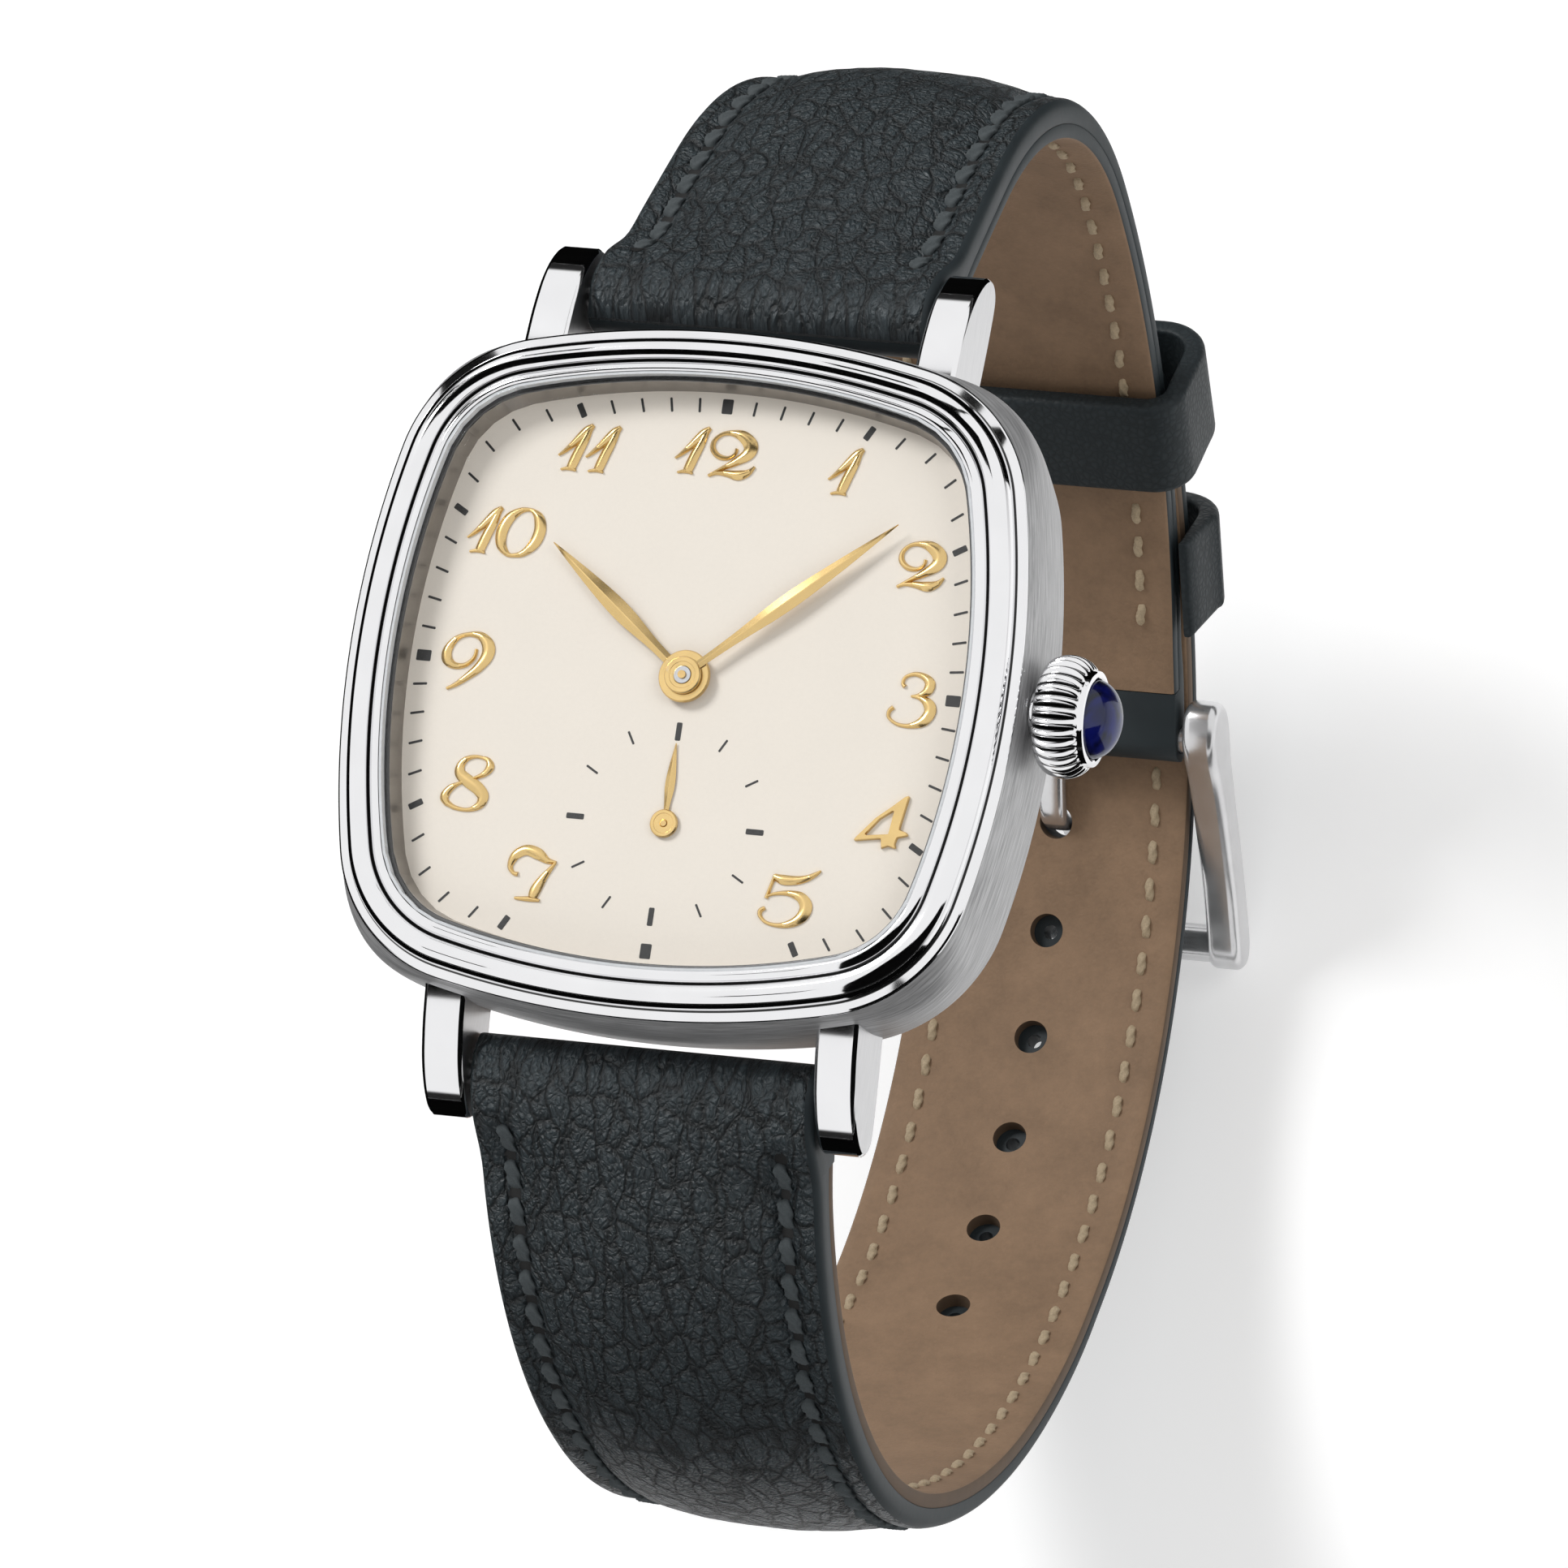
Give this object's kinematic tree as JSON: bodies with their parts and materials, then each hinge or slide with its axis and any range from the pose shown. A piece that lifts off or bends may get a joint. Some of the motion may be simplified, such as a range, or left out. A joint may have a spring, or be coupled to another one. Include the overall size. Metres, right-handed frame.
{
  "type": "mechanical wristwatch",
  "caption": "Cushion-shaped hand-wound wristwatch with small seconds, fluted crown with a cabochon, padded leather strap, keepers and pin buckle, closed round a wrist.",
  "frame": {"origin": "centre of the case back's flat face, on the axis of the hands", "axes": "+Z out of the dial, +Y to 12 o'clock, +X to the crown; the strap's loop hangs to -Z"},
  "size_m": [0.0391, 0.0737, 0.0747],
  "materials": {
    "polished_steel": "polished",
    "brushed_steel": "vertically brushed",
    "dial_cream": "fine matt grain",
    "gold": "polished gold plate",
    "sapphire": "clear",
    "blue_stone": "polished cabochon",
    "gasket": "matt",
    "clear_gasket": "satin",
    "brass": "gilt",
    "nickel": "striped nickel",
    "blued": "heat blued",
    "ruby": "polished",
    "leather": "grained, dark slate",
    "lining": "smooth tan",
    "spring_steel": "polished"
  },
  "bodies": {
    "case": {"mid_case": "brushed_steel", "bezel": "polished_steel", "crystal": "sapphire", "crystal_gasket": "clear_gasket", "inner_flange": "polished_steel", "dial": "dial_cream", "hour_numerals": "gold", "case_back": "brushed_steel", "case_back_gasket": "gasket", "case_back_screws": "polished_steel", "movement_ring": "nickel", "crown_tube": "polished_steel", "main_plate": "nickel", "barrel_bridge": "nickel", "train_bridge": "nickel", "balance_cock": "nickel", "bridge_screws": "blued", "jewels": "ruby", "spring_bars": "polished_steel", "strap_12": "leather", "strap_12_lining": "lining", "strap_6": "leather", "strap_6_lining": "lining", "fixed_keeper": "leather", "buckle_bar": "polished_steel"},
    "seconds": {"fourth_wheel": "brass", "seconds_hand": "gold"},
    "third": {"third_wheel": "brass"},
    "centre": {"centre_wheel": "brass"},
    "escape": {"escape_wheel": "spring_steel"},
    "barrel": {"barrel": "brass", "mainspring": "spring_steel"},
    "minute": {"cannon_pinion": "spring_steel", "minute_hand": "gold"},
    "minute_wheel": {"minute_wheel": "brass"},
    "hour": {"hour_wheel": "brass", "hour_hand": "gold"},
    "setting_wheel": {"setting_wheel": "spring_steel"},
    "winding": {"winding_pinion": "spring_steel"},
    "crown": {"crown": "polished_steel", "crown_cabochon": "blue_stone", "winding_stem": "spring_steel"},
    "clutch": {"sliding_clutch": "spring_steel"},
    "crown_wheel": {"crown_wheel": "nickel"},
    "ratchet": {"ratchet_wheel": "nickel"},
    "click": {"click": "nickel"},
    "fork": {"pallet_fork": "spring_steel"},
    "balance": {"balance_wheel": "brass", "hairspring": "blued"},
    "setting_lever": {"setting_lever": "spring_steel"},
    "yoke": {"yoke": "spring_steel"},
    "free_keeper": {"free_keeper": "leather"},
    "buckle_frame": {"buckle_frame": "polished_steel"},
    "buckle_tongue": {"buckle_tongue": "polished_steel"},
    "tip_12_left": {"spring_bar_tip_12_left": "polished_steel"},
    "tip_12_right": {"spring_bar_tip_12_right": "polished_steel"},
    "tip_6_left": {"spring_bar_tip_6_left": "polished_steel"},
    "tip_6_right": {"spring_bar_tip_6_right": "polished_steel"}
  },
  "joints": [
    {"name": "seconds_turn", "type": "hinge", "parent": "case", "child": "seconds", "pos_m": [0, -0.00727, 0.0062], "axis": [0, 0, 1], "continuous": true},
    {"name": "third_turn", "type": "hinge", "parent": "case", "child": "third", "pos_m": [-0.00243, -0.00379, 0.003], "axis": [0, 0, 1], "continuous": true},
    {"name": "centre_turn", "type": "hinge", "parent": "case", "child": "centre", "pos_m": [0, 0, 0.003], "axis": [0, 0, 1], "continuous": true},
    {"name": "escape_turn", "type": "hinge", "parent": "case", "child": "escape", "pos_m": [0.00396, -0.00727, 0.003], "axis": [0, 0, 1], "continuous": true},
    {"name": "barrel_turn", "type": "hinge", "parent": "case", "child": "barrel", "pos_m": [0.00298, 0.00395, 0.004], "axis": [0, 0, 1], "continuous": true},
    {"name": "minute_turn", "type": "hinge", "parent": "case", "child": "minute", "pos_m": [0, 0, 0.0062], "axis": [0, 0, 1], "continuous": true},
    {"name": "minute_wheel_turn", "type": "hinge", "parent": "case", "child": "minute_wheel", "pos_m": [0.00197, -0.00138, 0.0052], "axis": [0, 0, 1], "continuous": true},
    {"name": "hour_turn", "type": "hinge", "parent": "case", "child": "hour", "pos_m": [0, 0, 0.0062], "axis": [0, 0, 1], "continuous": true},
    {"name": "setting_wheel_turn", "type": "hinge", "parent": "case", "child": "setting_wheel", "pos_m": [0.0046, -0.00042, 0.0052], "axis": [0, 0, 1], "continuous": true},
    {"name": "crown_turn", "type": "hinge", "parent": "case", "child": "winding", "pos_m": [0.009, 0, 0.0048], "axis": [1, 0, 0], "continuous": true},
    {"name": "crown_wheel_turn", "type": "hinge", "parent": "case", "child": "crown_wheel", "pos_m": [0.0075, 0, 0.003], "axis": [0, 0, 1], "continuous": true},
    {"name": "ratchet_turn", "type": "hinge", "parent": "case", "child": "ratchet", "pos_m": [0.00298, 0.00395, 0.003], "axis": [0, 0, 1], "continuous": true},
    {"name": "click_lift", "type": "hinge", "parent": "case", "child": "click", "pos_m": [-0.00065, 0.007, 0.0026], "axis": [0, 0, 1], "range_deg": [0, 12], "stiffness_Nm_per_rad": 0.00001, "springref_deg": -2.86},
    {"name": "fork_rock", "type": "hinge", "parent": "case", "child": "fork", "pos_m": [0.00582, -0.00659, 0.0033], "axis": [0, 0, 1], "range_deg": [-6, 6]},
    {"name": "balance_swing", "type": "hinge", "parent": "case", "child": "balance", "pos_m": [0.00769, -0.00591, 0.0028], "axis": [0, 0, 1], "range_deg": [-270, 270], "stiffness_Nm_per_rad": 0.00000057},
    {"name": "crown_pull", "type": "slide", "parent": "winding", "child": "crown", "axis": [1, 0, 0], "range_m": [0, 0.0006]},
    {"name": "clutch_slide", "type": "slide", "parent": "winding", "child": "clutch", "axis": [-1, 0, 0], "range_m": [0, 0.0006]},
    {"name": "setting_lever_turn", "type": "hinge", "parent": "case", "child": "setting_lever", "pos_m": [0.0104, -0.0022, 0.0055], "axis": [0, 0, 1], "range_deg": [-16.2, 0]},
    {"name": "yoke_turn", "type": "hinge", "parent": "case", "child": "yoke", "pos_m": [0.00755, -0.0026, 0.0055], "axis": [0, 0, 1], "range_deg": [0, 13.6]},
    {"name": "tip_12_left_slide", "type": "slide", "parent": "case", "child": "tip_12_left", "axis": [1, 0, 0], "range_m": [0, 0.0009], "stiffness_N_per_m": 300, "springref_m": -0.0005},
    {"name": "tip_12_right_slide", "type": "slide", "parent": "case", "child": "tip_12_right", "axis": [-1, 0, 0], "range_m": [0, 0.0009], "stiffness_N_per_m": 300, "springref_m": -0.0005},
    {"name": "tip_6_left_slide", "type": "slide", "parent": "case", "child": "tip_6_left", "axis": [1, 0, 0], "range_m": [0, 0.0009], "stiffness_N_per_m": 300, "springref_m": -0.0005},
    {"name": "tip_6_right_slide", "type": "slide", "parent": "case", "child": "tip_6_right", "axis": [-1, 0, 0], "range_m": [0, 0.0009], "stiffness_N_per_m": 300, "springref_m": -0.0005},
    {"name": "free_keeper_slide", "type": "slide", "parent": "case", "child": "free_keeper", "axis": [0, -0.6449, -0.7643], "range_m": [-0.002, 0.0025]},
    {"name": "buckle_frame_turn", "type": "hinge", "parent": "case", "child": "buckle_frame", "pos_m": [0, 0.01092, -0.05388], "axis": [1, 0, 0], "range_deg": [-3, 0]},
    {"name": "buckle_tongue_turn", "type": "hinge", "parent": "case", "child": "buckle_tongue", "pos_m": [0, 0.01092, -0.05388], "axis": [1, 0, 0], "range_deg": [0, 2]}
  ],
  "couplings": [
    {"joint": "third_turn", "follows": "seconds_turn", "ratio": -0.13333},
    {"joint": "centre_turn", "follows": "seconds_turn", "ratio": 0.016667},
    {"joint": "escape_turn", "follows": "seconds_turn", "ratio": -10},
    {"joint": "barrel_turn", "follows": "seconds_turn", "ratio": -0.0025641},
    {"joint": "hour_turn", "follows": "minute_turn", "ratio": 0.083333},
    {"joint": "minute_wheel_turn", "follows": "minute_turn", "ratio": -0.33333},
    {"joint": "setting_wheel_turn", "follows": "minute_turn", "ratio": 0.6},
    {"joint": "crown_wheel_turn", "follows": "crown_turn", "ratio": 0.75},
    {"joint": "ratchet_turn", "follows": "crown_turn", "ratio": -0.5},
    {"joint": "clutch_slide", "follows": "crown_pull", "ratio": 1},
    {"joint": "setting_lever_turn", "follows": "crown_pull", "rad_per_m": -460},
    {"joint": "yoke_turn", "follows": "crown_pull", "rad_per_m": 388}
  ]
}
